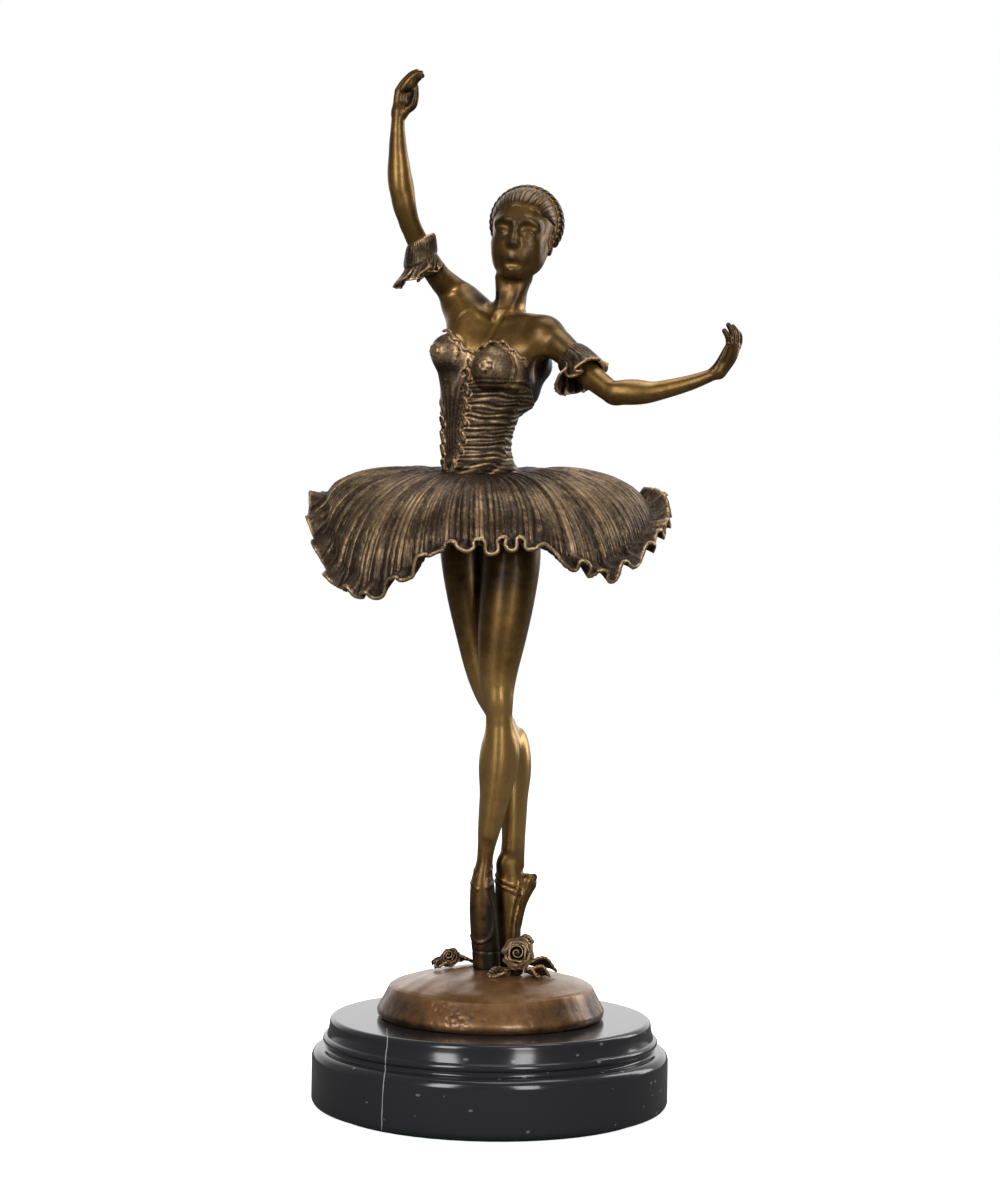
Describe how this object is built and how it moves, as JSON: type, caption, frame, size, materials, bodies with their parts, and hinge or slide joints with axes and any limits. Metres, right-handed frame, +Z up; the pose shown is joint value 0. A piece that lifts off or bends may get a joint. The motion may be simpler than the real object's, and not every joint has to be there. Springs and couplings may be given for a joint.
{
  "type": "dancer statuette",
  "caption": "Cast bronze ballet dancer on pointe with crossed legs, one arm raised and a ruffled skirt, on a domed bronze plinth bolted to a stepped round black marble base.",
  "frame": {"origin": "centre of the felt pad's underside, on the surface that the statuette stands on", "axes": "+Z up along the standing figure; -Y is the front that the viewer sees; +X is the viewer's right, where the lowered arm points"},
  "size_m": [0.1546, 0.13, 0.375],
  "materials": {
    "skin_bronze": "satin",
    "cloth_bronze": "satin",
    "plinth_bronze": "satin",
    "marble": "polished",
    "steel": "satin",
    "felt": "matte"
  },
  "bodies": {
    "root": {"felt_pad": "felt", "marble_base": "marble", "fixing_stud": "steel", "fixing_washer": "steel", "fixing_nut": "steel", "plinth_casting": "plinth_bronze", "front_foot_pin": "steel", "rear_foot_pin": "steel", "front_hip_pin": "steel", "rear_hip_pin": "steel", "waist_pin": "steel", "neck_pin": "steel", "right_arm_pin": "steel", "left_arm_pin": "steel", "front_leg_casting": "skin_bronze", "rear_leg_casting": "skin_bronze", "hip_casting": "cloth_bronze", "tutu_casting": "cloth_bronze", "torso_casting": "cloth_bronze", "head_casting": "skin_bronze", "right_arm_casting": "skin_bronze", "left_arm_casting": "skin_bronze", "right_sleeve_frill": "cloth_bronze", "left_sleeve_frill": "cloth_bronze", "front_rose": "cloth_bronze", "rear_rose": "cloth_bronze"}
  },
  "joints": []
}
